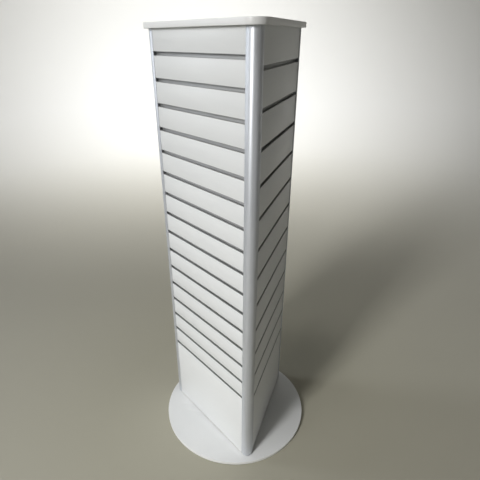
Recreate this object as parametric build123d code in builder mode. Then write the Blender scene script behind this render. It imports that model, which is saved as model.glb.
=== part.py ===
from build123d import *
from math import cos, radians, sin, sqrt
import os

# Revolving three-sided slatwall display tower. Millimetres, +Z up.
# The origin is on the floor, on the axis that the tower turns about.

# Overall sizes
face_width = 508.0  # one side of the triangle, between the sharp corners of the panels' outer faces
panel_height = 1495.0
panel_thickness = 18.0
disc_diameter = 600.0
disc_thickness = 12.0
tower_gap = 3.0  # between the disc and the foot of the tower

# Top board and edge bands
top_thickness = 16.0
top_overhang = 15.0  # beyond the corner profiles
edge_band = 1.0

# Rubber pads under the disc
pad_height = 2.0
pad_diameter = 30.0
pad_inset = 30.0  # from the disc's rim to a pad's centre
pad_count = 6

# Corner profile, an extrusion with two channels for the panels' edges
nose_radius = 20.0
flange_proud = 1.5  # outer flanges over the panels' faces
panel_fit = 0.2  # between a panel and its channel
corner_clearance = 2.8  # from the line where two panels would meet to a panel's end
channel_depth = 8.8  # of panel behind the outer flange
inner_flange = 18.0  # of panel in front of the inner flange
profile_wall = 1.5
port_radius = 4.5
port_bore = 2.1
port_offset = 9.5  # from the nose's centre towards its tip

# T-grooves and the aluminium inserts that line them
mouth_height = 12.6
mouth_depth = 5.0
cavity_height = 26.0
groove_depth = 12.5
insert_wall = 1.1
insert_fit = 0.1
blank_skirt = 300.0  # least plain height below the grooves

# Boards and battens inside
board_thickness = 18.0
board_fit = 0.5
batten_size = 20.0
batten_end_gap = 2.0

# Turntable bearing
plate_side = 150.0
plate_thickness = 2.0
plate_gap = 4.0
plate_window = 70.0
plate_corner_radius = 8.0
plate_hole_offset = 65.0
ball_diameter = 6.0
ball_circle = 100.0
ball_count = 24
race_clearance = 0.3
cage_thickness = 1.4
cage_width = 12.0
cage_fit = 0.1
access_radius = 8.0

# Pivot
pivot_diameter = 10.0
pivot_fit = 0.08  # running fit in the bush, radial
pivot_head_diameter = 20.0
pivot_head_height = 3.0
pivot_recess_fit = 1.0
key_width = 6.0
key_depth = 2.4
thread_diameter = 8.0
bush_wall = 3.0
bush_flange_width = 4.0
bush_flange_height = 2.0
pivot_end_play = 0.3
washer_diameter = 24.0
washer_thickness = 2.0
nut_width = 13.0
nut_height = 8.0
thread_end = 3.0

# Screws: radius of the shank, of the head, height of the head
wood_screw = (2.0, 4.0, 2.4)
plate_screw = (2.0, 3.5, 1.6)
port_screw = (2.1, 4.0, 2.0)
screw_fit = 0.05
panel_bite = 12.0
board_bite = 12.0
plate_bite_below = 9.0
plate_bite_above = 12.0
port_bite = 34.0
level_screw_inset = 60.0  # from a batten's end
upright_screw_inset = 100.0  # from a batten's end
cap_radius = 5.0
cap_height = 2.0

# Directions that the faces and the corners look in
face_azimuths = {"front": -90.0, "right": 30.0, "left": 150.0}
corner_azimuths = {"right": -30.0, "rear": 90.0, "left": 210.0}

# First groove's distance below the panel's top, and the pitch of its grooves
groove_rows = {"front": (67.5, 75.0), "right": (92.5, 100.0), "left": (92.5, 100.0)}

# Worked out from the sizes above
slope = sqrt(3)  # length along a face per unit of depth, on the line where two faces meet
inradius = face_width / 2 / slope
back_face = inradius - panel_thickness
bend_reach = (nose_radius - flange_proud) * slope  # where the profile's nose starts to bend away from a face
panel_inset = max(panel_thickness * slope + corner_clearance, bend_reach + panel_fit)
panel_width = face_width - 2 * panel_inset
flange_reach = panel_inset + channel_depth
inner_reach = panel_inset + inner_flange
nose_centre = 2 * (inradius + flange_proud) - 2 * nose_radius
port_centre = nose_centre + port_offset

disc_bottom = pad_height
disc_top = disc_bottom + disc_thickness
foot = disc_top + tower_gap
head = foot + panel_height
tower_top = head + top_thickness
lower_plate_top = disc_top + plate_thickness
upper_plate_bottom = lower_plate_top + plate_gap
ball_level = lower_plate_top + plate_gap / 2
board_bottom = upper_plate_bottom + plate_thickness
board_top = board_bottom + board_thickness
batten_bottoms = {"bottom": board_top, "top": head - batten_size}

batten_inset = max((panel_thickness + batten_size) * slope, inner_reach) + batten_end_gap
batten_length = face_width - 2 * batten_inset
level_screw_place = batten_length / 2 - level_screw_inset
upright_screw_place = batten_length / 2 - upright_screw_inset


def face_section(azimuth):
    # Cross-section plane of a face: local X is outward from the axis, local Y is up.
    a = radians(azimuth)
    return Plane(origin=(0, 0, 0), x_dir=(cos(a), sin(a), 0), z_dir=(sin(a), -cos(a), 0))


def face_front(azimuth, distance):
    # Plane parallel to a face: local X runs along the face, local Y is up, and the normal is outward.
    a = radians(azimuth)
    origin = (distance * cos(a), distance * sin(a), 0)
    return Plane(origin=origin, x_dir=(-sin(a), cos(a), 0), z_dir=(cos(a), sin(a), 0))


def turned_level(azimuth, height):
    # Level plane whose local X points along the azimuth.
    a = radians(azimuth)
    return Plane(origin=(0, 0, height), x_dir=(cos(a), sin(a), 0), z_dir=(0, 0, 1))


def face_levels(height):
    return [turned_level(azimuth, height) for azimuth in face_azimuths.values()]


def groove_heights(first, pitch):
    count = int((panel_height - first - blank_skirt) / pitch) + 1
    return [head - first - i * pitch for i in range(count)]


def corner_point(reach, depth, side):
    # In a corner's level plane: a point at a reach from the sharp corner and a depth behind a face.
    x = 2 * inradius - reach * slope / 2 - depth / 2
    y = side * (reach / 2 - depth * slope / 2)
    return (x, y)


def corner_strip(reach_from, reach_to, depth_from, depth_to, side):
    Polygon(
        corner_point(reach_from, depth_from, side),
        corner_point(reach_to, depth_from, side),
        corner_point(reach_to, depth_to, side),
        corner_point(reach_from, depth_to, side),
        align=None,
    )


def triangle(inner_radius, corner_radius):
    RegularPolygon(radius=2 * inner_radius, side_count=3, rotation=90)
    fillet(vertices(), radius=corner_radius)


def write(piece, name):
    piece.part.label = name
    export_step(piece.part, f"parts/{name}.step")


def drill(plane, places, radius, start, end):
    # Round holes from one distance to another along the plane's normal.
    with BuildSketch(plane.offset(start)) as rounds:
        with Locations(*places):
            Circle(radius)
    extrude(rounds.sketch, amount=end - start, mode=Mode.SUBTRACT)


def screws(planes, places, size, reach):
    # Screws whose heads stand back from each plane, with shanks that reach along its normal.
    shank, head_radius, head_height = size
    for plane in planes:
        with BuildSketch(plane) as shanks:
            with Locations(*places):
                Circle(shank)
        extrude(shanks.sketch, amount=reach)
        with BuildSketch(plane) as heads:
            with Locations(*places):
                Circle(head_radius)
        extrude(heads.sketch, amount=-head_height)


def level_screw_places(height):
    return [(level_screw_place, height), (-level_screw_place, height)]


def upright_screw_places():
    middle = back_face - batten_size / 2
    return [(middle, upright_screw_place), (middle, -upright_screw_place)]


os.makedirs("parts", exist_ok=True)

hole = plate_hole_offset
plate_corners = [(hole, hole), (-hole, hole), (-hole, -hole), (hole, -hole)]


# ---- Base: the disc, its edge band and its pads

with BuildPart() as base_disc:
    with BuildSketch(Plane.XY.offset(disc_bottom)):
        Circle(disc_diameter / 2 - edge_band)
    extrude(amount=disc_thickness)
    recess_top = disc_bottom + pivot_head_height + screw_fit
    recess_radius = pivot_head_diameter / 2 + pivot_recess_fit
    drill(Plane.XY, [(0, 0)], recess_radius, disc_bottom, recess_top)
    drill(Plane.XY, [(0, 0)], pivot_diameter / 2 + screw_fit, recess_top, disc_top)
    # The upper plate's screws are driven through this hole, with the tower turned by an eighth.
    drill(Plane.XY, [(plate_hole_offset * sqrt(2), 0)], access_radius, disc_bottom, disc_top)
    shank = plate_screw[0] + screw_fit
    drill(Plane.XY, plate_corners, shank, disc_top - plate_bite_below, disc_top)
write(base_disc, "base_disc")

with BuildPart() as base_edge_band:
    with BuildSketch(Plane.XY.offset(disc_bottom)):
        Circle(disc_diameter / 2)
        Circle(disc_diameter / 2 - edge_band, mode=Mode.SUBTRACT)
    extrude(amount=disc_thickness)
write(base_edge_band, "base_edge_band")

with BuildPart() as base_pads:
    with BuildSketch(Plane.XY):
        with PolarLocations(disc_diameter / 2 - pad_inset, pad_count):
            Circle(pad_diameter / 2)
    extrude(amount=pad_height)
write(base_pads, "base_pads")


# ---- Turntable bearing between the disc and the bottom board

def bearing_plate(level):
    # One plate of the turntable, with the groove that its balls run in.
    with BuildSketch(Plane.XY.offset(level)) as plate:
        RectangleRounded(plate_side, plate_side, plate_corner_radius)
        Circle(plate_window / 2, mode=Mode.SUBTRACT)
        with Locations(*plate_corners):
            Circle(plate_screw[0] + screw_fit, mode=Mode.SUBTRACT)
    extrude(plate.sketch, amount=plate_thickness)
    with BuildSketch(Plane.XZ) as race:
        with Locations((ball_circle / 2, ball_level)):
            Circle(ball_diameter / 2 + race_clearance)
    revolve(race.sketch, axis=Axis.Z, mode=Mode.SUBTRACT)


with BuildPart() as bearing_lower_plate:
    bearing_plate(disc_top)
write(bearing_lower_plate, "bearing_lower_plate")

with BuildPart() as bearing_upper_plate:
    bearing_plate(upper_plate_bottom)
write(bearing_upper_plate, "bearing_upper_plate")

with BuildPart() as bearing_lower_screws:
    downward = Plane(origin=(0, 0, lower_plate_top), x_dir=(1, 0, 0), z_dir=(0, 0, -1))
    screws([downward], plate_corners, plate_screw, plate_thickness + plate_bite_below)
write(bearing_lower_screws, "bearing_lower_screws")

with BuildPart() as bearing_upper_screws:
    upward = Plane.XY.offset(upper_plate_bottom)
    screws([upward], plate_corners, plate_screw, plate_thickness + plate_bite_above)
write(bearing_upper_screws, "bearing_upper_screws")

with BuildPart() as bearing_cage:
    with BuildSketch(Plane.XY.offset(ball_level - cage_thickness / 2)):
        Circle((ball_circle + cage_width) / 2)
        Circle((ball_circle - cage_width) / 2, mode=Mode.SUBTRACT)
        with PolarLocations(ball_circle / 2, ball_count):
            Circle(ball_diameter / 2 + cage_fit, mode=Mode.SUBTRACT)
    extrude(amount=cage_thickness)
write(bearing_cage, "bearing_cage")

with BuildPart() as bearing_balls:
    with Locations(Plane.XY.offset(ball_level)):
        with PolarLocations(ball_circle / 2, ball_count):
            Sphere(ball_diameter / 2)
write(bearing_balls, "bearing_balls")


# ---- Pivot: a shouldered bolt up through disc, bearing and bottom board

shoulder_top = board_top + bush_flange_height + pivot_end_play
nut_bottom = shoulder_top + washer_thickness

with BuildPart() as pivot_bolt:
    with BuildSketch(Plane.XY.offset(disc_bottom)):
        Circle(pivot_head_diameter / 2)
    extrude(amount=pivot_head_height)
    with BuildSketch(Plane.XY.offset(disc_bottom)):
        Circle(pivot_diameter / 2)
    extrude(amount=shoulder_top - disc_bottom)
    with BuildSketch(Plane.XY.offset(disc_bottom)):
        Circle(thread_diameter / 2)
    extrude(amount=nut_bottom + nut_height + thread_end - disc_bottom)
    # Socket for a hexagon key in the head.
    with BuildSketch(Plane.XY.offset(disc_bottom)):
        RegularPolygon(radius=key_width / 2, side_count=6, major_radius=False)
    extrude(amount=key_depth, mode=Mode.SUBTRACT)
write(pivot_bolt, "pivot_bolt")

with BuildPart() as pivot_bush:
    bore = pivot_diameter / 2 + pivot_fit
    with BuildSketch(Plane.XY.offset(board_bottom)):
        Circle(bore + bush_wall)
    extrude(amount=board_thickness)
    with BuildSketch(Plane.XY.offset(board_top)):
        Circle(bore + bush_wall + bush_flange_width)
    extrude(amount=bush_flange_height)
    drill(Plane.XY, [(0, 0)], bore, board_bottom, board_top + bush_flange_height)
write(pivot_bush, "pivot_bush")

with BuildPart() as pivot_washer:
    with BuildSketch(Plane.XY.offset(shoulder_top)):
        Circle(washer_diameter / 2)
        Circle(thread_diameter / 2 + screw_fit, mode=Mode.SUBTRACT)
    extrude(amount=washer_thickness)
write(pivot_washer, "pivot_washer")

with BuildPart() as pivot_nut:
    with BuildSketch(Plane.XY.offset(nut_bottom)):
        RegularPolygon(radius=nut_width / 2, side_count=6, major_radius=False)
        Circle(thread_diameter / 2 + screw_fit, mode=Mode.SUBTRACT)
    extrude(amount=nut_height)
write(pivot_nut, "pivot_nut")


# ---- Bottom board, between the panels' backs, with its corners cut clear of the inner flanges

with BuildPart() as bottom_board:
    with BuildSketch(Plane.XY.offset(board_bottom)):
        board_inradius = back_face - board_fit
        RegularPolygon(radius=2 * board_inradius, side_count=3, rotation=90)
        corner_cut = inner_reach + batten_end_gap - (panel_thickness + board_fit) * slope
        chamfer(vertices(), length=corner_cut)
    extrude(amount=board_thickness)
    drill(Plane.XY, [(0, 0)], pivot_diameter / 2 + pivot_fit + bush_wall, board_bottom, board_top)
    drill(Plane.XY, plate_corners, plate_screw[0] + screw_fit, board_bottom, board_bottom + plate_bite_above)
    for level in face_levels(0):
        drill(level, upright_screw_places(), wood_screw[0] + screw_fit, board_bottom, board_top)
        head_seat = board_bottom + wood_screw[2]
        drill(level, upright_screw_places(), wood_screw[1] + screw_fit, board_bottom, head_seat)
write(bottom_board, "bottom_board")

with BuildPart() as bottom_board_screws:
    reach = board_top + board_bite - head_seat
    screws(face_levels(head_seat), upright_screw_places(), wood_screw, reach)
write(bottom_board_screws, "bottom_board_screws")


# ---- Timber battens at foot and head, one along each panel

for end, batten_bottom in batten_bottoms.items():
    middle = batten_bottom + batten_size / 2
    for face, azimuth in face_azimuths.items():
        with BuildPart() as batten:
            with BuildSketch(face_front(azimuth, back_face)):
                with Locations((0, middle)):
                    Rectangle(batten_length, batten_size)
            extrude(amount=-batten_size)
            shank = wood_screw[0] + screw_fit
            front = face_front(azimuth, 0)
            drill(front, level_screw_places(middle), shank, back_face - batten_size, back_face)
            level = turned_level(azimuth, batten_bottom)
            drill(level, upright_screw_places(), shank, 0, batten_size)
        write(batten, f"{end}_batten_{face}")

    with BuildPart() as batten_screws:
        planes = [face_front(azimuth, back_face - batten_size) for azimuth in face_azimuths.values()]
        screws(planes, level_screw_places(middle), wood_screw, batten_size + panel_bite)
    write(batten_screws, f"{end}_batten_screws")


# ---- Corner profiles

for corner, azimuth in corner_azimuths.items():
    with BuildPart() as profile:
        with BuildSketch(turned_level(azimuth, foot)):
            outer_tip = (2 * (inradius + flange_proud), 0)
            inner_tip = (2 * (inradius + panel_fit), 0)
            outer_ends = [corner_point(flange_reach, -flange_proud, side) for side in (1, -1)]
            inner_ends = [corner_point(flange_reach, -panel_fit, side) for side in (1, -1)]
            inner_radius = nose_radius - flange_proud + panel_fit
            with BuildLine():
                FilletPolyline(outer_ends[0], outer_tip, outer_ends[1], radius=nose_radius)
                FilletPolyline(inner_ends[0], inner_tip, inner_ends[1], radius=inner_radius)
                Line(outer_ends[0], inner_ends[0])
                Line(outer_ends[1], inner_ends[1])
            make_face()
            stop = panel_inset - panel_fit
            back = panel_thickness + profile_wall
            for side in (1, -1):
                corner_strip(stop - profile_wall, stop, -panel_fit, back, side)
                corner_strip(stop - profile_wall, inner_reach, panel_thickness, back, side)
            # Rib from the meeting of the inner flanges to the nose, with the screw port on it.
            rib_start = 2 * (back_face - profile_wall)
            rib_end = nose_centre + inner_radius + panel_fit
            with Locations(((rib_start + rib_end) / 2, 0)):
                Rectangle(rib_end - rib_start, profile_wall)
            with Locations((port_centre, 0)):
                Circle(port_radius)
                Circle(port_bore + screw_fit, mode=Mode.SUBTRACT)
        extrude(amount=panel_height)
    write(profile, f"corner_profile_{corner}")


# ---- Slatwall panels and the inserts of their grooves

for face, azimuth in face_azimuths.items():
    heights = groove_heights(*groove_rows[face])
    with BuildPart() as panel:
        with BuildSketch(face_section(azimuth)):
            with Locations(((inradius + back_face) / 2, (foot + head) / 2)):
                Rectangle(panel_thickness, panel_height)
            with Locations(*[(inradius - mouth_depth / 2, z) for z in heights]):
                Rectangle(mouth_depth, mouth_height, mode=Mode.SUBTRACT)
            cavity_depth = groove_depth - mouth_depth
            with Locations(*[(inradius - mouth_depth - cavity_depth / 2, z) for z in heights]):
                Rectangle(cavity_depth, cavity_height, mode=Mode.SUBTRACT)
        extrude(amount=panel_width / 2, both=True)
        for batten_bottom in batten_bottoms.values():
            places = level_screw_places(batten_bottom + batten_size / 2)
            back = face_front(azimuth, back_face)
            drill(back, places, wood_screw[0] + screw_fit, 0, panel_bite)
    write(panel, f"panel_{face}")

    with BuildPart() as inserts:
        with BuildSketch(face_section(azimuth)):
            outer_mouth = mouth_height - 2 * insert_fit
            outer_cavity = cavity_height - 2 * insert_fit
            inner_front = mouth_depth + insert_fit
            outer_back = groove_depth - insert_fit
            inner_back = outer_back - insert_wall
            lip_back = inner_front + insert_wall
            for z in heights:
                with Locations((inradius - lip_back / 2, z)):
                    Rectangle(lip_back, outer_mouth)
                with Locations((inradius - (inner_front + outer_back) / 2, z)):
                    Rectangle(outer_back - inner_front, outer_cavity)
                with Locations((inradius - lip_back / 2, z)):
                    Rectangle(lip_back, outer_mouth - 2 * insert_wall, mode=Mode.SUBTRACT)
                with Locations((inradius - (lip_back + inner_back) / 2, z)):
                    Rectangle(inner_back - lip_back, outer_cavity - 2 * insert_wall, mode=Mode.SUBTRACT)
        extrude(amount=panel_width / 2, both=True)
    write(inserts, f"groove_inserts_{face}")


# ---- Top board, its edge band, and what holds it down

board_edge = inradius + flange_proud + top_overhang
board_corner = nose_radius + top_overhang
port_angles = [radians(azimuth) for azimuth in corner_azimuths.values()]
port_places = [(port_centre * cos(a), port_centre * sin(a)) for a in port_angles]

with BuildPart() as top_board:
    with BuildSketch(Plane.XY.offset(head)):
        triangle(board_edge - edge_band, board_corner - edge_band)
    extrude(amount=top_thickness)
    cap_bottom = tower_top - cap_height
    drill(Plane.XY, port_places, port_screw[0] + screw_fit, head, tower_top)
    drill(Plane.XY, port_places, cap_radius + screw_fit, cap_bottom - port_screw[2], tower_top)
    for level in face_levels(0):
        drill(level, upright_screw_places(), wood_screw[0] + screw_fit, head, head + board_bite)
write(top_board, "top_board")

with BuildPart() as top_edge_band:
    with BuildSketch(Plane.XY.offset(head)):
        triangle(board_edge, board_corner)
    extrude(amount=top_thickness)
    with BuildSketch(Plane.XY.offset(head)):
        triangle(board_edge - edge_band, board_corner - edge_band)
    extrude(amount=top_thickness, mode=Mode.SUBTRACT)
write(top_edge_band, "top_edge_band")

with BuildPart() as top_board_screws:
    screws(face_levels(head - batten_size), upright_screw_places(), wood_screw, batten_size + board_bite)
write(top_board_screws, "top_board_screws")

with BuildPart() as top_corner_screws:
    seat = cap_bottom - port_screw[2]
    downward = Plane(origin=(0, 0, seat), x_dir=(1, 0, 0), z_dir=(0, 0, -1))
    screws([downward], [(x, -y) for x, y in port_places], port_screw, seat - head + port_bite)
write(top_corner_screws, "top_corner_screws")

with BuildPart() as top_screw_caps:
    with BuildSketch(Plane.XY.offset(cap_bottom)):
        with Locations(*port_places):
            Circle(cap_radius)
    extrude(amount=cap_height)
write(top_screw_caps, "top_screw_caps")
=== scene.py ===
import math

import bpy
from mathutils import Matrix, Quaternion, Vector


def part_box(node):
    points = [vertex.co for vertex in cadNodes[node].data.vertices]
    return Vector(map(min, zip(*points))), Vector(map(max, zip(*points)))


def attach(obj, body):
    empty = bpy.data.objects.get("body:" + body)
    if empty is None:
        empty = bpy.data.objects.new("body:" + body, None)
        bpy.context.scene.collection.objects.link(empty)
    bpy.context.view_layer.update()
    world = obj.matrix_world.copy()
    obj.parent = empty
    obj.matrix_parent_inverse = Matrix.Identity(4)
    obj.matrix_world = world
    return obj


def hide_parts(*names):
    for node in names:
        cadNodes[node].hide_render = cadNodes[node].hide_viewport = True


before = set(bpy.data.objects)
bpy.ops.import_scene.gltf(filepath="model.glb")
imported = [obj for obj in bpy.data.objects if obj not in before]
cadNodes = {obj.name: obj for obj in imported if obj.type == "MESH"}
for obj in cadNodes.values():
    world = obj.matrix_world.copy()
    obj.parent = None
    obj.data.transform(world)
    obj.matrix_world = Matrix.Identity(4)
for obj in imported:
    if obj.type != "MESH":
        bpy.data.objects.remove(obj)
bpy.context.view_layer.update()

print("frame loaded,", len(cadNodes), "CAD nodes")

# Directions that the faces and the corners look in, in degrees round the tower's axis
faceTurns = {"front": -90.0, "right": 30.0, "left": 150.0}
cornerTurns = {"right": -30.0, "rear": 90.0, "left": 210.0}

quarterTurn = math.pi / 2
upright = Vector((0, 0, 1))
white = (1.0, 1.0, 1.0)


# Node helpers: each adds one step to a material's tree

def startMaterial(name, metallic=0.0, **sockets):
    material = bpy.data.materials.new(name)
    material.use_nodes = True
    tree = material.node_tree
    shader = tree.nodes["Principled BSDF"]
    shader.inputs["Metallic"].default_value = metallic
    for socket, value in sockets.items():
        shader.inputs[socket.replace("_", " ")].default_value = value
    place = tree.nodes.new("ShaderNodeTexCoord").outputs["Object"]
    return material, tree, shader, place


def stretched(tree, vector, turn=0.0, scale=(1, 1, 1)):
    # turned about Z first, then stretched along the turned axes
    turned = tree.nodes.new("ShaderNodeMapping")
    turned.inputs["Rotation"].default_value = (0, 0, math.radians(turn))
    tree.links.new(vector, turned.inputs["Vector"])
    sized = tree.nodes.new("ShaderNodeMapping")
    sized.inputs["Scale"].default_value = scale
    tree.links.new(turned.outputs[0], sized.inputs["Vector"])
    return sized.outputs[0]


def noise(tree, vector, scale, detail=4.0, rough=0.5, distortion=0.0):
    node = tree.nodes.new("ShaderNodeTexNoise")
    node.inputs["Scale"].default_value = scale
    node.inputs["Detail"].default_value = detail
    node.inputs["Roughness"].default_value = rough
    node.inputs["Distortion"].default_value = distortion
    tree.links.new(vector, node.inputs["Vector"])
    return node.outputs["Fac"]


def cells(tree, vector, scale, output="Color"):
    node = tree.nodes.new("ShaderNodeTexVoronoi")
    node.inputs["Scale"].default_value = scale
    tree.links.new(vector, node.inputs["Vector"])
    return node.outputs[output]


def rings(tree, vector, scale, distortion, detail):
    node = tree.nodes.new("ShaderNodeTexWave")
    node.wave_type = "RINGS"
    node.inputs["Scale"].default_value = scale
    node.inputs["Distortion"].default_value = distortion
    node.inputs["Detail"].default_value = detail
    tree.links.new(vector, node.inputs["Vector"])
    return node.outputs["Fac"]


def ramp(tree, value, stops):
    node = tree.nodes.new("ShaderNodeValToRGB")
    marks = node.color_ramp.elements
    while len(marks) < len(stops):
        marks.new(0.5)
    for mark, (position, color) in zip(marks, stops):
        mark.position = position
        mark.color = (*color, 1.0)
    tree.links.new(value, node.inputs["Fac"])
    return node.outputs["Color"]


def mixed(tree, first, second, amount, mode="MIX"):
    # first and second are colour outputs or plain colours; amount is an output or a number
    node = tree.nodes.new("ShaderNodeMix")
    node.data_type = "RGBA"
    node.blend_type = mode
    for socket, value in (("A_Color", first), ("B_Color", second), ("Factor_Float", amount)):
        slot = next(s for s in node.inputs if s.identifier == socket)
        if isinstance(value, bpy.types.NodeSocket):
            tree.links.new(value, slot)
        else:
            slot.default_value = (*value, 1.0) if isinstance(value, tuple) else value
    return next(s for s in node.outputs if s.identifier == "Result_Color")


def darkened(tree, tone, value, shade, start, end, amount):
    # the tone times a shade where value is below start, and clear of it above end
    veil = ramp(tree, value, [(start, shade), (end, white)])
    return mixed(tree, tone, veil, amount, "MULTIPLY")


def ranged(tree, value, low, high, fromLow=0.3, fromHigh=0.7):
    node = tree.nodes.new("ShaderNodeMapRange")
    node.inputs["From Min"].default_value = fromLow
    node.inputs["From Max"].default_value = fromHigh
    node.inputs["To Min"].default_value = low
    node.inputs["To Max"].default_value = high
    tree.links.new(value, node.inputs["Value"])
    return node.outputs["Result"]


def bumped(tree, shader, layers):
    # layers are (height output, depth in metres, strength), finest first
    previous = None
    for height, depth, strength in layers:
        node = tree.nodes.new("ShaderNodeBump")
        node.inputs["Distance"].default_value = depth
        node.inputs["Strength"].default_value = strength
        tree.links.new(height, node.inputs["Height"])
        if previous is not None:
            tree.links.new(previous, node.inputs["Normal"])
        previous = node.outputs["Normal"]
    tree.links.new(previous, shader.inputs["Normal"])


def colored(tree, shader, color, roughness):
    tree.links.new(color, shader.inputs["Base Color"])
    tree.links.new(roughness, shader.inputs["Roughness"])


# Finishes: in each dictionary, a pattern's number is its scale, so a larger one is finer

melamine = {"light": (0.795, 0.808, 0.808), "shade": (0.768, 0.781, 0.779), "rough": (0.37, 0.49),
            "cloud": 2.3, "grain": 1500.0, "grainDepth": 0.00003, "peel": 420.0,
            "peelDepth": 0.00005, "wipe": 1.6, "wipeStretch": (3, 3, 26)}


def melamineFinish(name, values):
    # satin white paper face with a fine pearl grain, faint wiping marks and a few dull patches
    material, tree, shader, place = startMaterial(name)
    cloud = noise(tree, place, values["cloud"], 3.0)
    tone = ramp(tree, cloud, [(0.3, values["shade"]), (0.7, values["light"])])
    grain = noise(tree, place, values["grain"], 2.0)
    tone = darkened(tree, tone, grain, (0.93, 0.93, 0.93), 0.32, 0.6, 0.7)
    along = stretched(tree, place, 0, values["wipeStretch"])
    wiped = noise(tree, along, values["wipe"], 5.0, 0.62)
    tone = darkened(tree, tone, wiped, (0.975, 0.978, 0.982), 0.38, 0.62, 0.6)
    colored(tree, shader, tone, ranged(tree, wiped, *values["rough"]))
    peel = noise(tree, place, values["peel"], 3.0)
    bumped(tree, shader, [(grain, values["grainDepth"], 0.35), (peel, values["peelDepth"], 0.5)])
    return material


edging = {"light": (0.845, 0.85, 0.845), "shade": (0.81, 0.815, 0.805), "rough": (0.32, 0.42),
          "lines": 14.0, "lineStretch": (1, 1, 90), "lineDepth": 0.00006,
          "grain": 900.0, "grainDepth": 0.00002}


def edgingFinish(name, values):
    # extruded plastic band: smoother than the board, with faint lines round the edge; its white is
    # set lighter than the board's, a painted highlight along the band
    material, tree, shader, place = startMaterial(name)
    along = stretched(tree, place, 0, values["lineStretch"])
    lines = noise(tree, along, values["lines"], 4.0, 0.6)
    tone = ramp(tree, lines, [(0.35, values["shade"]), (0.65, values["light"])])
    grain = noise(tree, place, values["grain"], 2.0)
    tone = darkened(tree, tone, grain, (0.95, 0.95, 0.95), 0.3, 0.6, 0.5)
    colored(tree, shader, tone, ranged(tree, lines, *values["rough"]))
    bumped(tree, shader, [(grain, values["grainDepth"], 0.3), (lines, values["lineDepth"], 0.35)])
    return material


anodised = {"light": (0.72, 0.742, 0.775), "shade": (0.615, 0.635, 0.67), "rough": (0.42, 0.52),
            "metal": 0.58, "coat": 0.08, "coatRough": 0.3, "stretch": (900, 900, 5),
            "etch": 3200.0, "etchDepth": 0.000012, "lineDepth": 0.00002, "cloud": 6.0}
# the groove liners take a darker copy of the anodised silver: painted shade for the inside of the
# grooves
shadedInsertMetal = {**anodised, "light": (0.52, 0.525, 0.525), "shade": (0.42, 0.425, 0.425),
               "rough": (0.46, 0.58), "metal": 0.5, "stretch": (5, 900, 900)}


def anodisedFinish(name, values, turn=0.0):
    # matt silver extrusion: die lines along its length, fine etch grain and slow cloudiness
    # the clear oxide layer is the coat
    material, tree, shader, place = startMaterial(
        name, values["metal"], Coat_Weight=values["coat"], Coat_Roughness=values["coatRough"])
    lines = noise(tree, stretched(tree, place, turn, values["stretch"]), 1.0, 5.0, 0.6)
    tone = ramp(tree, lines, [(0.32, values["shade"]), (0.68, values["light"])])
    etch = noise(tree, place, values["etch"], 2.0)
    tone = darkened(tree, tone, etch, (0.9, 0.9, 0.9), 0.3, 0.65, 0.5)
    cloud = noise(tree, place, values["cloud"], 4.0)
    tone = darkened(tree, tone, cloud, (0.96, 0.965, 0.975), 0.35, 0.65, 0.8)
    colored(tree, shader, tone, ranged(tree, lines, *values["rough"]))
    bumped(tree, shader, [(etch, values["etchDepth"], 0.4), (lines, values["lineDepth"], 0.45)])
    return material


softwood = {"early": (0.74, 0.55, 0.33), "late": (0.50, 0.30, 0.135), "pore": (0.30, 0.17, 0.07),
            "rough": (0.5, 0.72), "growth": 2.6, "growthStretch": (1.2, 18, 18),
            "growthDepth": 0.00015, "fibreStretch": (14, 900, 900), "fibreDepth": 0.00012,
            "streakStretch": (5, 160, 160)}


def softwoodFinish(name, values, turn):
    # planed pine: growth rings along the batten, fibres, and darker resin streaks
    material, tree, shader, place = startMaterial(name)
    along = stretched(tree, place, turn, values["growthStretch"])
    growth = rings(tree, along, values["growth"], 5.5, 3.0)
    early, late = values["early"], values["late"]
    tone = ramp(tree, growth, [(0.1, early), (0.62, early), (0.93, late)])
    fibre = noise(tree, stretched(tree, place, turn, values["fibreStretch"]), 1.0, 4.0, 0.65)
    tone = darkened(tree, tone, fibre, (0.72, 0.66, 0.58), 0.3, 0.62, 0.7)
    streak = noise(tree, stretched(tree, place, turn, values["streakStretch"]), 1.0, 2.0)
    tone = mixed(tree, tone, values["pore"], ranged(tree, streak, 0.0, 0.5, 0.66, 0.8))
    colored(tree, shader, tone, ranged(tree, fibre, *values["rough"]))
    bumped(tree, shader, [(fibre, values["fibreDepth"], 0.5), (growth, values["growthDepth"], 0.3)])
    return material


fibreboard = {"light": (0.46, 0.33, 0.20), "shade": (0.30, 0.20, 0.115), "chip": (0.56, 0.42, 0.27),
              "rough": (0.72, 0.9), "matting": 620.0, "depth": 0.0002, "bundles": 300.0}


def fibreboardFinish(name, values):
    # raw pressed fibreboard: short matted fibres, darker bundles and a woolly surface
    material, tree, shader, place = startMaterial(name)
    matted = noise(tree, place, values["matting"], 6.0, 0.7, 0.6)
    stops = [(0.3, values["shade"]), (0.55, values["light"]), (0.8, values["chip"])]
    tone = ramp(tree, matted, stops)
    bundles = cells(tree, place, values["bundles"], "Distance")
    tone = darkened(tree, tone, bundles, (0.6, 0.55, 0.5), 0.05, 0.35, 0.6)
    colored(tree, shader, tone, ranged(tree, matted, *values["rough"]))
    bumped(tree, shader, [(matted, values["depth"], 0.5)])
    return material


rubber = {"light": (0.045, 0.045, 0.047), "shade": (0.02, 0.02, 0.021), "rough": (0.62, 0.82),
          "dust": (0.14, 0.135, 0.125), "dustPatch": 60.0, "mottle": 240.0, "depth": 0.00015}


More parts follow.
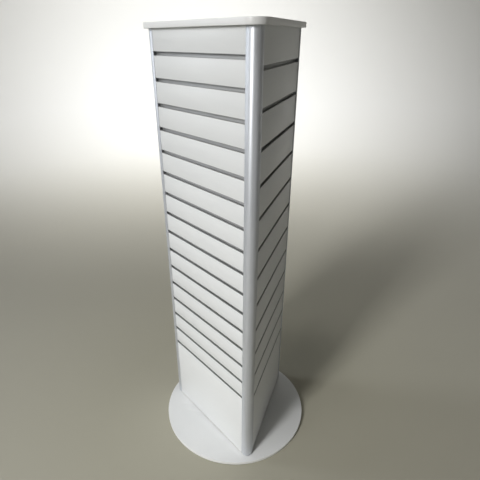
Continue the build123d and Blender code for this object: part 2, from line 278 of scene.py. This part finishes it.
def rubberFinish(name, values):
    # mottled black rubber with some floor dust on it
    material, tree, shader, place = startMaterial(name)
    mottled = noise(tree, place, values["mottle"], 5.0, 0.6)
    tone = ramp(tree, mottled, [(0.35, values["shade"]), (0.7, values["light"])])
    dust = noise(tree, place, values["dustPatch"], 3.0)
    tone = mixed(tree, tone, values["dust"], ranged(tree, dust, 0.0, 0.35, 0.55, 0.8))
    colored(tree, shader, tone, ranged(tree, mottled, *values["rough"]))
    bumped(tree, shader, [(mottled, values["depth"], 0.5)])
    return material


zinc = {"light": (0.74, 0.76, 0.77), "shade": (0.52, 0.54, 0.55), "rough": (0.28, 0.46),
        "spangle": 75.0, "scratchStretch": (30, 1600, 1600), "scratchTurn": 20, "depth": 0.00002}
screwZinc = {**zinc, "shade": (0.66, 0.68, 0.70), "rough": (0.22, 0.34), "spangle": 900.0}


def zincFinish(name, values):
    # plated steel: crystal patches that differ in tone and gloss, with fine rolling scratches
    material, tree, shader, place = startMaterial(name, 1.0)
    grey = tree.nodes.new("ShaderNodeRGBToBW")
    tree.links.new(cells(tree, place, values["spangle"]), grey.inputs["Color"])
    patches = grey.outputs["Val"]
    tone = ramp(tree, patches, [(0.15, values["shade"]), (0.85, values["light"])])
    along = stretched(tree, place, values["scratchTurn"], values["scratchStretch"])
    scratch = noise(tree, along, 1.0, 4.0, 0.6)
    tone = darkened(tree, tone, scratch, (0.84, 0.84, 0.85), 0.3, 0.6, 0.7)
    colored(tree, shader, tone, ranged(tree, patches, *values["rough"], 0.1, 0.9))
    bumped(tree, shader, [(scratch, values["depth"], 0.4)])
    return material


polished = {"light": (0.70, 0.70, 0.71), "shade": (0.56, 0.56, 0.57), "grease": (0.34, 0.29, 0.2),
            "rough": (0.09, 0.2), "swirl": 260.0, "depth": 0.00001, "greasePatch": 90.0}


def polishedFinish(name, values):
    # ground and polished steel with a smear of grease
    material, tree, shader, place = startMaterial(name, 1.0)
    swirl = noise(tree, place, values["swirl"], 5.0, 0.6, 1.5)
    tone = ramp(tree, swirl, [(0.3, values["shade"]), (0.7, values["light"])])
    grease = noise(tree, place, values["greasePatch"], 2.0)
    tone = mixed(tree, tone, values["grease"], ranged(tree, grease, 0.0, 0.4, 0.6, 0.8))
    colored(tree, shader, tone, ranged(tree, swirl, *values["rough"]))
    bumped(tree, shader, [(swirl, values["depth"], 0.3)])
    return material


nylon = {"light": (0.80, 0.79, 0.72), "shade": (0.70, 0.68, 0.60), "rough": (0.36, 0.5),
         "cloud": 55.0, "spark": 1800.0, "depth": 0.00004}
capPlastic = {**nylon, "light": (0.80, 0.80, 0.79), "shade": (0.75, 0.75, 0.735),
              "rough": (0.28, 0.4)}


def plasticFinish(name, values):
    # moulded plastic: cloudy tone, fine spark texture
    material, tree, shader, place = startMaterial(name)
    cloud = noise(tree, place, values["cloud"], 4.0)
    tone = ramp(tree, cloud, [(0.3, values["shade"]), (0.7, values["light"])])
    spark = noise(tree, place, values["spark"], 2.0)
    tone = darkened(tree, tone, spark, (0.94, 0.94, 0.94), 0.3, 0.6, 0.6)
    colored(tree, shader, tone, ranged(tree, cloud, *values["rough"]))
    bumped(tree, shader, [(spark, values["depth"], 0.4)])
    return material


finishes = {
    "melamine": melamineFinish("whiteMelamine", melamine),
    "edging": edgingFinish("whiteEdging", edging),
    "profile": anodisedFinish("anodisedProfile", anodised),
    "fibreboard": fibreboardFinish("rawFibreboard", fibreboard),
    "rubber": rubberFinish("padRubber", rubber),
    "plate": zincFinish("zincPlate", zinc),
    "screw": zincFinish("zincScrew", screwZinc),
    "steel": polishedFinish("bearingSteel", polished),
    "nylon": plasticFinish("naturalNylon", nylon),
    "cap": plasticFinish("whiteCap", capPlastic),
}
for face, turn in faceTurns.items():
    # a face runs a quarter turn on from where it looks, and the pattern is turned back by as much
    run = turn + 90
    finishes[f"insert_{face}"] = anodisedFinish(f"grooveInsert_{face}", shadedInsertMetal, -run)
    finishes[f"wood_{face}"] = softwoodFinish(f"pine_{face}", softwood, -run)
print("finishes ready,", len(finishes))

# The balls are true spheres already, so their CAD node stays in view with its own finish
ballSlots = cadNodes["bearing_balls"].data.materials
ballSlots.clear()
ballSlots.append(finishes["steel"])


# Modelling helpers

def deselectAll():
    bpy.ops.object.select_all(action="DESELECT")


def makeActive(piece):
    deselectAll()
    piece.select_set(True)
    bpy.context.view_layer.objects.active = piece


def startEditing(piece, mode="FACE"):
    makeActive(piece)
    bpy.ops.object.mode_set(mode="EDIT")
    bpy.ops.mesh.select_mode(type=mode)
    bpy.ops.mesh.select_all(action="DESELECT")


def stopEditing():
    bpy.ops.object.mode_set(mode="OBJECT")


def selectFaces(piece, wanted):
    # wanted is asked for each face, with its centre and normal
    stopEditing()
    for face in piece.data.polygons:
        face.select = bool(wanted(face.center, face.normal))
    bpy.ops.object.mode_set(mode="EDIT")


def settle(piece, name=None):
    # the object back at the origin, with its place in its mesh
    if name:
        piece.name = name
        piece.data.name = name
    makeActive(piece)
    bpy.ops.object.transform_apply(location=True, rotation=True, scale=True)
    return piece


def cylinder(sides, radius, low, high, spot=(0, 0), turn=0.0):
    # an upright cylinder between two levels, not settled yet
    deselectAll()
    bpy.ops.mesh.primitive_cylinder_add(
        vertices=sides, radius=radius, depth=high - low,
        location=(spot[0], spot[1], (low + high) / 2), rotation=(0, 0, math.radians(turn)))
    return bpy.context.object


def applied(piece, modifier):
    makeActive(piece)
    bpy.ops.object.modifier_apply(modifier=modifier.name)
    return piece


def smoothed(piece, angle):
    makeActive(piece)
    bpy.ops.object.shade_smooth_by_angle(angle=math.radians(angle))
    return piece


def eased(piece, width, segments=2, angle=40):
    # sharp edges taken off by a small bevel
    ease = piece.modifiers.new("ease", "BEVEL")
    ease.width = width
    ease.segments = segments
    ease.limit_method = "ANGLE"
    ease.angle_limit = math.radians(angle)
    return smoothed(applied(piece, ease), 35)


def cutBy(piece, tool, operation="DIFFERENCE"):
    cut = piece.modifiers.new("cut", "BOOLEAN")
    cut.operation = operation
    cut.object = tool
    applied(piece, cut)
    bpy.data.objects.remove(tool)
    return piece


def joined(pieces, name):
    makeActive(pieces[0])
    for piece in pieces:
        piece.select_set(True)
    bpy.ops.object.join()
    return settle(bpy.context.object, name)


def copiesAt(piece, places):
    # one copy of the shape for each place and turn, each with its own mesh
    copies = []
    for place, turn in places:
        twin = bpy.data.objects.new(piece.name, piece.data.copy())
        bpy.context.scene.collection.objects.link(twin)
        twin.rotation_mode = "QUATERNION"
        twin.rotation_quaternion = turn
        twin.location = place
        copies.append(twin)
    bpy.data.objects.remove(piece)
    return copies


def mergedCopy(nodeName, name):
    # a CAD node's loose triangles, joined up in a copy that can be worked on
    piece = bpy.data.objects.new(name, cadNodes[nodeName].data.copy())
    bpy.context.scene.collection.objects.link(piece)
    makeActive(piece)
    bpy.ops.mesh.customdata_custom_splitnormals_clear()
    startEditing(piece)
    bpy.ops.mesh.select_all(action="SELECT")
    bpy.ops.mesh.remove_doubles(threshold=0.00001)
    bpy.ops.mesh.dissolve_limited(angle_limit=math.radians(0.5))
    stopEditing()
    return piece


def handIn(piece, body, slot, keys, *nodes):
    # finishes, the body that it rides on, its record slot (not used), and the CAD nodes that it
    # stands for
    piece.data.materials.clear()
    for key in keys:
        piece.data.materials.append(finishes[key])
    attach(piece, body)
    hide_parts(*nodes)


def turnedPlace(turn, reach, along=0.0, level=0.0):
    # a point out from the axis along a direction, then sideways along the face that looks that way
    a = math.radians(turn)
    return Vector((reach * math.cos(a) - along * math.sin(a),
                   reach * math.sin(a) + along * math.cos(a), level))


def topOf(node):
    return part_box(node)[1].z


def bottomOf(node):
    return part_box(node)[0].z


def middleOf(node):
    return (topOf(node) + bottomOf(node)) / 2


# Panels: melamine on the face and the back, raw board on the sawn edges

panelMake = {"ease": 0.00035, "paper": 0.0006}
linerMake = {"ease": 0.00018}
frontPanelLow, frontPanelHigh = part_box("panel_front")
faceReach = -frontPanelLow.y
panelThickness = frontPanelHigh.y - frontPanelLow.y


def makePanel(face, turn, values):
    panel = eased(mergedCopy(f"panel_{face}", f"slatPanel_{face}"), values["ease"])
    handIn(panel, "tower", "white_melamine_board", ("melamine", "fibreboard"), f"panel_{face}")
    outward = turnedPlace(turn, 1.0)
    for part in panel.data.polygons:
        depth = faceReach - part.center.dot(outward)
        sawn = values["paper"] < depth < panelThickness - values["paper"]
        part.material_index = 1 if sawn else 0


def makeLiners(face, values):
    liners = eased(mergedCopy(f"groove_inserts_{face}", f"grooveLiners_{face}"), values["ease"])
    handIn(liners, "tower", "anodised_insert", (f"insert_{face}",), f"groove_inserts_{face}")


for face, turn in faceTurns.items():
    makePanel(face, turn, panelMake)
    makeLiners(face, linerMake)
print("panels and groove liners made")

# Corner posts, with the saw burr taken off both ends

postMake = {"ease": 0.00022, "segments": 2, "angle": 50}
for corner in cornerTurns:
    post = mergedCopy(f"corner_profile_{corner}", f"cornerPost_{corner}")
    eased(post, postMake["ease"], postMake["segments"], postMake["angle"])
    handIn(post, "tower", "anodised_profile", ("profile",), f"corner_profile_{corner}")
print("corner posts made")

# Edge bands: a slab of the outer shape, hollowed to a ring, with softened arrises

bandMake = {"thickness": 0.001, "ease": 0.0006, "segments": 3, "cornerSides": 144,
            "roundSides": 288, "slack": 0.0005}


def hollowToBand(slab, values, onOuterWall):
    startEditing(slab)
    selectFaces(slab, lambda centre, normal: abs(normal.z) > 0.9)
    bpy.ops.mesh.inset(thickness=values["thickness"])
    bpy.ops.mesh.delete(type="FACE")
    bpy.ops.mesh.select_mode(type="EDGE")
    bpy.ops.mesh.select_all(action="DESELECT")
    bpy.ops.mesh.select_non_manifold()
    bpy.ops.mesh.bridge_edge_loops()
    bpy.ops.mesh.select_all(action="SELECT")
    bpy.ops.mesh.normals_make_consistent(inside=False)
    stopEditing()
    # only the two outer arrises are softened, and the inner ones stay sharp against the board
    outer = slab.data.attributes.new("bevel_weight_edge", "FLOAT", "EDGE")
    corners = slab.data.vertices
    for edge in slab.data.edges:
        first, second = (corners[i].co for i in edge.vertices)
        level = abs(first.z - second.z) < 0.0001
        softened = level and onOuterWall(first) and onOuterWall(second)
        outer.data[edge.index].value = 1.0 if softened else 0.0
    ease = slab.modifiers.new("ease", "BEVEL")
    ease.width, ease.segments = values["ease"], values["segments"]
    ease.limit_method = "WEIGHT"
    return smoothed(applied(slab, ease), 35)


def insideTriangle(point, inradius, cornerRadius):
    # how far a point is inside the rounded triangle: 0 on its edge
    reach = 2 * (inradius - cornerRadius)
    nearest = min(inradius - point.dot(turnedPlace(turn, 1.0)) for turn in faceTurns.values())
    for turn in cornerTurns.values():
        corner = turnedPlace(turn, reach)
        away = Vector((point.x - corner.x, point.y - corner.y))
        # a round spans 60 degrees each side of its corner's direction
        if away.angle(corner.xy, 0) < math.radians(60.5):
            nearest = cornerRadius - away.length
    return nearest


def makeTopBand(values):
    low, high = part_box("top_edge_band")
    inradius = -low.y
    cornerRadius = 2 * inradius - high.y
    rounds = []
    for turn in cornerTurns.values():
        spot = turnedPlace(turn, 2 * (inradius - cornerRadius))
        rounds.append(cylinder(values["cornerSides"], cornerRadius, low.z, high.z, spot, turn))
    slab = joined(rounds, "topEdging")
    startEditing(slab)
    bpy.ops.mesh.select_all(action="SELECT")
    bpy.ops.mesh.convex_hull()
    bpy.ops.mesh.select_all(action="SELECT")
    bpy.ops.mesh.dissolve_limited(angle_limit=math.radians(0.5))
    stopEditing()
    slack = values["slack"]
    hollowToBand(slab, values, lambda p: insideTriangle(p, inradius, cornerRadius) < slack)
    handIn(slab, "tower", "white_edging", ("edging",), "top_edge_band")


def makeBaseBand(values):
    low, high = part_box("base_edge_band")
    radius = min(high.x, -low.x, high.y, -low.y)
    ring = settle(cylinder(values["roundSides"], radius, low.z, high.z), "baseEdging")
    hollowToBand(ring, values, lambda p: p.xy.length > radius - values["slack"])
    handIn(ring, "base", "white_edging", ("edging",), "base_edge_band")


makeTopBand(bandMake)
makeBaseBand(bandMake)

# Boards, bearing plates and battens: the CAD's shape with its edges eased

boards = {
    # CAD node: (piece, body, slot, finish, ease)
    "top_board": ("topBoard", "tower", "white_melamine_board", "melamine", 0.0002),
    "base_disc": ("baseDisc", "base", "white_melamine_board", "melamine", 0.0002),
    "bottom_board": ("bottomBoard", "tower", "plain_board", "fibreboard", 0.0004),
    "bearing_lower_plate": ("lowerBearingPlate", "base", "zinc_plate", "plate", 0.0003),
    "bearing_upper_plate": ("upperBearingPlate", "tower", "zinc_plate", "plate", 0.0003),
    "bearing_cage": ("ballCage", "ball_ring", "nylon", "nylon", 0.0002),
    "pivot_bush": ("pivotBush", "tower", "nylon", "nylon", 0.0003),
    "pivot_washer": ("pivotWasher", "tower", "zinc_steel", "screw", 0.0003),
}
battenMake = {"ease": 0.0008, "segments": 3}
for nodeName, (name, body, slot, key, ease) in boards.items():
    handIn(eased(mergedCopy(nodeName, name), ease), body, slot, (key,), nodeName)
for face in faceTurns:
    for end in ("bottom", "top"):
        batten = mergedCopy(f"{end}_batten_{face}", f"{end}Batten_{face}")
        eased(batten, battenMake["ease"], battenMake["segments"])
        handIn(batten, "tower", "softwood", (f"wood_{face}",), f"{end}_batten_{face}")
print("boards, edge bands, battens and bearing plates made")

# Rubber pads and cover caps: one of each is shaped, and the rest are copies of it

padMake = {"radius": 0.015, "sides": 64, "ring": 0.0025, "dish": 0.0005, "slope": 0.0006,
           "ease": 0.0004, "count": 6}
capMake = {"radius": 0.005, "sides": 56, "ring": 0.0011, "dish": 0.0002, "slope": 0.0003,
           "ease": 0.0003}


def dishedDisc(low, high, values, outward):
    # a disc whose outward end, up or down, is dished inside a flat ring
    disc = settle(cylinder(values["sides"], values["radius"], low, high))
    startEditing(disc)
    selectFaces(disc, lambda centre, normal: normal.z * outward > 0.9)
    bpy.ops.mesh.inset(thickness=values["ring"])
    bpy.ops.mesh.inset(thickness=values["slope"])
    bpy.ops.transform.translate(value=(0, 0, -outward * values["dish"]))
    stopEditing()
    return eased(disc, values["ease"], 3, 50)


def makePads(values):
    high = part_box("base_pads")[1]
    pad = dishedDisc(0, high.z, values, -1)
    reach = high.x - values["radius"]
    spots = [turnedPlace(360 / values["count"] * i, reach) for i in range(values["count"])]
    pads = joined(copiesAt(pad, [(spot, Quaternion()) for spot in spots]), "footPads")
    handIn(pads, "base", "pad_rubber", ("rubber",), "base_pads")


def makeCaps(values):
    low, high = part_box("top_screw_caps")
    cap = dishedDisc(low.z, high.z, values, 1)
    spots = [turnedPlace(turn, high.y - values["radius"]) for turn in cornerTurns.values()]
    caps = joined(copiesAt(cap, [(spot, Quaternion()) for spot in spots]), "screwCaps")
    handIn(caps, "tower", "white_cap", ("cap",), "top_screw_caps")


makePads(padMake)
makeCaps(capMake)
print("pads and caps made")

# Screws: a domed head with a cross recess, a shank and a rolled thread

screwMake = {
    "recessLong": 0.0042, "recessWide": 0.0009, "recessDeep": 0.0011,
    "dome": 0.55,  # the head's rounding, as a share of its height
    "core": 0.72,  # the shank's radius, as a share of the thread's
    "point": 0.002, "tip": 0.12,  # the point's length, and what is left of the shank at its end
    "plain": 0.12,  # the share of the shank under the head that has no thread
    "headSides": 40, "shankSides": 20,
    # shank radius, head radius, head height, thread pitch
    "wood": (0.002, 0.004, 0.0024, 0.0018),
    "plate": (0.002, 0.0035, 0.0016, 0.0014),
    "corner": (0.0021, 0.004, 0.002, 0.0018),
}
threadMake = {"size": 0.9, "steps": 14}


def threadRidge(outer, core, pitch, start, end):
    # a small triangle carried round and along the shank
    deselectAll()
    bpy.ops.mesh.primitive_circle_add(
        vertices=3, radius=(outer - core) * threadMake["size"], fill_type="NGON",
        location=(0, 0, 0), rotation=(quarterTurn, 0, 0))
    ridge = settle(bpy.context.object)
    startEditing(ridge, "VERT")
    bpy.ops.mesh.select_all(action="SELECT")
    bpy.ops.transform.rotate(value=quarterTurn, orient_axis="Y", center_override=(0, 0, 0))
    stopEditing()
    reachOut = max(vertex.co.x for vertex in ridge.data.vertices)
    startEditing(ridge, "VERT")
    bpy.ops.mesh.select_all(action="SELECT")
    bpy.ops.transform.translate(value=(outer - reachOut, 0, start + pitch / 2))
    bpy.ops.mesh.delete(type="ONLY_FACE")
    stopEditing()
    wind = ridge.modifiers.new("wind", "SCREW")
    wind.axis = "Z"
    wind.screw_offset = pitch
    wind.iterations = int((end - start) / pitch) - 1
    wind.steps = wind.render_steps = threadMake["steps"]
    wind.use_merge_vertices = False
    applied(ridge, wind)
    startEditing(ridge, "EDGE")
    bpy.ops.mesh.select_non_manifold()
    bpy.ops.mesh.fill()
    bpy.ops.mesh.select_all(action="SELECT")
    bpy.ops.mesh.normals_make_consistent(inside=False)
    stopEditing()
    return smoothed(ridge, 30)


def crossRecess(values, level):
    # two crossed bars that are cut out of a head whose top is at this level, facing down
    bars = []
    for turn in (0, quarterTurn):
        deselectAll()
        bpy.ops.mesh.primitive_cube_add(size=1, location=(0, 0, level), rotation=(0, 0, turn))
        bar = bpy.context.object
        bar.scale = (values["recessLong"], values["recessWide"], values["recessDeep"] * 2)
        bars.append(settle(bar))
    return bars


def makeScrew(kind, reach, values=screwMake):
    # the seat is at the origin, with the head below it and the shank up along Z
    shankRadius, headRadius, headHeight, pitch = values[kind]
    core = shankRadius * values["core"]
    pointStart = reach - values["point"]
    head = settle(cylinder(values["headSides"], headRadius, -headHeight, 0))
    startEditing(head)
    selectFaces(head, lambda centre, normal: normal.z < -0.9)
    bpy.ops.mesh.bevel(offset=headHeight * values["dome"], segments=5, profile=0.6)
    stopEditing()
    smoothed(head, 40)
    for bar in crossRecess(values, -headHeight):
        cutBy(head, bar)
    shank = settle(cylinder(values["shankSides"], core, 0, pointStart))
    startEditing(shank)
    selectFaces(shank, lambda centre, normal: normal.z > 0.9)
    bpy.ops.mesh.extrude_region_move(TRANSFORM_OT_translate={"value": (0, 0, values["point"])})
    bpy.ops.transform.resize(value=(values["tip"], values["tip"], 1), center_override=(0, 0, reach))
    stopEditing()
    smoothed(shank, 40)
    ridge = threadRidge(shankRadius, core, pitch, reach * values["plain"], pointStart)
    return joined([head, shank, ridge], "screw")


def placeScrews(name, body, nodeName, model, spots):
    # spots are (seat, direction of the point)
    places = [(place, upright.rotation_difference(direction)) for place, direction in spots]
    placed = joined(copiesAt(model, places), name)
    handIn(placed, body, "zinc_steel", ("screw",), nodeName)


def uprightScrews(name, body, nodeName, kind, spotsAt, downwards=False):
    # screws along Z, whose seat is a head's height inside the end of their CAD node
    headHeight = screwMake[kind][2]
    low, high = bottomOf(nodeName), topOf(nodeName)
    seat = high - headHeight if downwards else low + headHeight
    model = makeScrew(kind, high - low - headHeight)
    direction = -upright if downwards else upright
    placeScrews(name, body, nodeName, model, [(spot, direction) for spot in spotsAt(seat)])


# Where the screws stand: in from the battens' ends, and in the bearing plates' corner holes
screwPlaces = {"uprightInset": 0.100, "levelInset": 0.060, "plateHole": 0.065}
battenLow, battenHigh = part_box("top_batten_front")
battenMiddle = -(battenLow.y + battenHigh.y) / 2
battenBack = -battenHigh.y
uprightAlong = battenHigh.x - screwPlaces["uprightInset"]
levelAlong = battenHigh.x - screwPlaces["levelInset"]
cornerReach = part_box("top_corner_screws")[1].y - screwMake["corner"][1]


def battenSpots(level):
    return [turnedPlace(turn, battenMiddle, side * uprightAlong, level)
            for turn in faceTurns.values() for side in (1, -1)]


def plateSpots(level):
    hole = screwPlaces["plateHole"]
    return [Vector((x * hole, y * hole, level)) for x in (1, -1) for y in (1, -1)]


def cornerSpots(level):
    return [turnedPlace(turn, cornerReach, 0, level) for turn in cornerTurns.values()]


def levelSpots(level):
    return [(turnedPlace(turn, battenBack, side * levelAlong, level), turnedPlace(turn, 1.0))
            for turn in faceTurns.values() for side in (1, -1)]


uprightScrews("bottomBoardScrews", "tower", "bottom_board_screws", "wood", battenSpots)
uprightScrews("topBoardScrews", "tower", "top_board_screws", "wood", battenSpots)
sideReach = -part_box("top_batten_screws")[0].y - battenBack
for end in ("bottom", "top"):
    nodeName = f"{end}_batten_screws"
    spots = levelSpots(middleOf(nodeName))
    placeScrews(f"{end}BattenScrews", "tower", nodeName, makeScrew("wood", sideReach), spots)
uprightScrews("lowerPlateScrews", "base", "bearing_lower_screws", "plate", plateSpots, True)
uprightScrews("upperPlateScrews", "tower", "bearing_upper_screws", "plate", plateSpots)
uprightScrews("cornerScrews", "tower", "top_corner_screws", "corner", cornerSpots, True)
print("screws made")

# Pivot: shouldered bolt with a socket head, and its locking nut

boltMake = {"headRadius": 0.010, "headHeight": 0.003, "shoulderRadius": 0.005,
            "threadRadius": 0.004, "threadCore": 0.0034, "pitch": 0.00125, "endGap": 0.001,
            "socketRadius": 0.003464, "socketDepth": 0.0024, "sides": 64, "ease": 0.0003}
nutMake = {"radius": 0.007506, "boreGap": 0.00005, "boreSides": 48,
           "blankShare": 0.999, "blankOver": 0.0001, "blankSides": 72, "blankEase": 0.0009,
           "collar": 0.0016, "collarRadius": 0.0057, "collarSides": 64, "collarEase": 0.0004}


def makeBolt(values):
    low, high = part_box("pivot_bolt")
    shoulderTop = bottomOf("pivot_washer")
    radius, level = values["headRadius"], low.z + values["headHeight"]
    bolt = settle(cylinder(values["sides"], radius, low.z, level))
    steps = ((values["shoulderRadius"], shoulderTop),
             (values["threadCore"], high.z - values["endGap"]))
    for nextRadius, nextLevel in steps:
        startEditing(bolt)
        selectFaces(bolt, lambda centre, normal: normal.z > 0.9 and centre.z > level - 0.0001)
        bpy.ops.mesh.inset(thickness=radius - nextRadius)
        rise = (0, 0, nextLevel - level)
        bpy.ops.mesh.extrude_region_move(TRANSFORM_OT_translate={"value": rise})
        stopEditing()
        radius, level = nextRadius, nextLevel
    eased(bolt, values["ease"], 2, 50)
    depth = values["socketDepth"]
    cutBy(bolt, settle(cylinder(6, values["socketRadius"], low.z - depth, low.z + depth)))
    ridge = threadRidge(values["threadRadius"], values["threadCore"], values["pitch"],
                        shoulderTop, high.z)
    handIn(joined([bolt, ridge], "pivotBolt"), "base", "zinc_steel", ("screw",), "pivot_bolt")


def makeNut(values):
    low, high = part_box("pivot_nut")
    bodyTop = high.z - values["collar"]
    boreRadius = boltMake["threadRadius"] + values["boreGap"]

    def bored(piece):
        margin = high.z - low.z
        bore = cylinder(values["boreSides"], boreRadius, low.z - margin, high.z + margin)
        return cutBy(piece, settle(bore))

    nut = settle(cylinder(6, values["radius"], low.z, bodyTop, turn=30))
    # a turned blank with its ends bevelled rounds the six corners off
    over = values["blankOver"]
    blank = cylinder(values["blankSides"], values["radius"] * values["blankShare"],
                     low.z - over, bodyTop + over)
    bored(cutBy(nut, eased(settle(blank), values["blankEase"], 1, 50), "INTERSECT"))
    collar = cylinder(values["collarSides"], values["collarRadius"], bodyTop, high.z)
    bored(eased(settle(collar), values["collarEase"], 3, 50))
    nut = smoothed(joined([nut, collar], "pivotNut"), 30)
    handIn(nut, "base", "zinc_steel", ("screw",), "pivot_nut")


makeBolt(boltMake)
makeNut(nutMake)
print("pivot made")

# Studio: a round cove, so that every side has the same pale ground

studio = {"floorRadius": 4.6, "coveRadius": 2.0, "wallTop": 5.4, "steps": 12, "sides": 128,
          "rim": 0.02, "rough": 0.85, "fadeEnd": 7.0,
          "near": (0.42, 0.405, 0.325), "middle": (0.62, 0.605, 0.53), "far": (0.80, 0.80, 0.78)}


def groundFinish(values):
    # warm grey near the tower, paler with distance from it: the fade is painted light, a falloff of
    # brightness painted into the ground's colour
    material, tree, shader, place = startMaterial("studioGround", Roughness=values["rough"])
    away = tree.nodes.new("ShaderNodeVectorMath")
    away.operation = "LENGTH"
    tree.links.new(place, away.inputs[0])
    distance = ranged(tree, away.outputs["Value"], 0.0, 1.0, 0.0, values["fadeEnd"])
    stops = [(0.08, values["near"]), (0.35, values["middle"]), (0.85, values["far"])]
    tree.links.new(ramp(tree, distance, stops), shader.inputs["Base Color"])
    return material


def buildStudio(values):
    deselectAll()
    bpy.ops.mesh.primitive_circle_add(
        vertices=values["sides"], radius=values["floorRadius"], fill_type="NGON")
    cove = bpy.context.object
    cove.name = "studioCove"
    bpy.ops.object.mode_set(mode="EDIT")
    bpy.ops.mesh.select_all(action="SELECT")
    bpy.ops.mesh.inset(thickness=values["rim"])
    bpy.ops.mesh.select_mode(type="EDGE")
    bpy.ops.mesh.select_all(action="DESELECT")
    bpy.ops.mesh.select_non_manifold()
    radius, height = values["floorRadius"], 0.0
    for step in range(1, values["steps"] + 1):
        angle = quarterTurn * step / values["steps"]
        nextRadius = values["floorRadius"] + values["coveRadius"] * math.sin(angle)
        nextHeight = values["coveRadius"] * (1 - math.cos(angle))
        rise = (0, 0, nextHeight - height)
        bpy.ops.mesh.extrude_edges_move(TRANSFORM_OT_translate={"value": rise})
        growth = nextRadius / radius
        centre = (0, 0, nextHeight)
        bpy.ops.transform.resize(value=(growth, growth, 1), center_override=centre)
        radius, height = nextRadius, nextHeight
    rise = (0, 0, values["wallTop"] - height)
    bpy.ops.mesh.extrude_edges_move(TRANSFORM_OT_translate={"value": rise})
    bpy.ops.mesh.select_all(action="SELECT")
    bpy.ops.mesh.normals_make_consistent(inside=True)
    stopEditing()
    bpy.ops.object.shade_smooth()
    cove.data.materials.append(groundFinish(values))


buildStudio(studio)

lights = {
    # name: (turn, reach, height, height aimed at, width, length, watts, colour)
    "key": (-79, 5.2, 2.9, 0.2, 0.9, 2.0, 25.5, (1.0, 0.995, 0.985)),
    "side": (-140, 4.6, 2.4, 0.7, 1.2, 2.6, 6.8, (0.88, 0.93, 1.0)),
    "overhead": (-86, 2.2, 8.5, 0.0, 1.6, 1.6, 10.0, (1.0, 0.99, 0.98)),
    "noseStrip": (-12, 4.6, 1.2, 0.8, 0.16, 2.0, 0.45, white),
    "backdrop": (146, 3.2, 5.2, 2.4, 3.0, 0.7, 125.0, white),
}
# How far round a lamp throws, in degrees, where it isn't the usual beam
usualBeam = 60
beams = {"noseStrip": 40, "backdrop": 100}
# The backdrop's lamp looks outwards, at this many times its own reach, and the others look in
outwardAim = {"backdrop": 1.45}


def placeLamp(name, turn, reach, level, aimedLevel, width, length, watts, color):
    place = turnedPlace(turn, reach, 0, level)
    target = turnedPlace(turn, reach * outwardAim.get(name, 0.0), 0, aimedLevel)
    lamp = bpy.data.lights.new(name, "AREA")
    lamp.shape = "RECTANGLE"
    lamp.size, lamp.size_y = width, length
    lamp.energy = watts
    lamp.spread = math.radians(beams.get(name, usualBeam))
    lamp.color = color
    holder = bpy.data.objects.new(name, lamp)
    bpy.context.scene.collection.objects.link(holder)
    holder.location = place
    holder.rotation_euler = (target - place).to_track_quat("-Z", "Y").to_euler()


for name, values in lights.items():
    placeLamp(name, *values)

air = {"color": (1.0, 0.95, 0.87, 1.0), "strength": 0.06}
world = bpy.data.worlds.new("studioAir")
bpy.context.scene.world = world
world.use_nodes = True
background = world.node_tree.nodes["Background"]
background.inputs["Color"].default_value = air["color"]
background.inputs["Strength"].default_value = air["strength"]
print("studio lit,", len(lights), "lights")

cameraSetup = {"place": (1.0180, -0.8777, 1.4880), "turn": 50.05, "down": 27.97, "roll": -0.43,
               "lens": 30.89, "sensor": 36.0, "shift": (0.0216, 0.0322)}


def buildCamera(values):
    turn, down, roll = (math.radians(values[key]) for key in ("turn", "down", "roll"))
    right = Vector((math.cos(turn), math.sin(turn), 0))
    back = Vector((math.sin(turn) * math.cos(down),
                   -math.cos(turn) * math.cos(down), math.sin(down)))
    up = back.cross(right)
    tiltedRight = right * math.cos(roll) + up * math.sin(roll)
    tiltedUp = up * math.cos(roll) - right * math.sin(roll)
    data = bpy.data.cameras.new("viewCamera")
    data.lens = values["lens"]
    data.sensor_width = values["sensor"]
    data.shift_x, data.shift_y = values["shift"]
    camera = bpy.data.objects.new("viewCamera", data)
    bpy.context.scene.collection.objects.link(camera)
    axes = Matrix((tiltedRight, tiltedUp, back)).transposed()
    camera.matrix_world = Matrix.Translation(values["place"]) @ axes.to_4x4()
    bpy.context.scene.camera = camera


buildCamera(cameraSetup)
bpy.context.scene.view_settings.view_transform = "Standard"
print("camera placed")
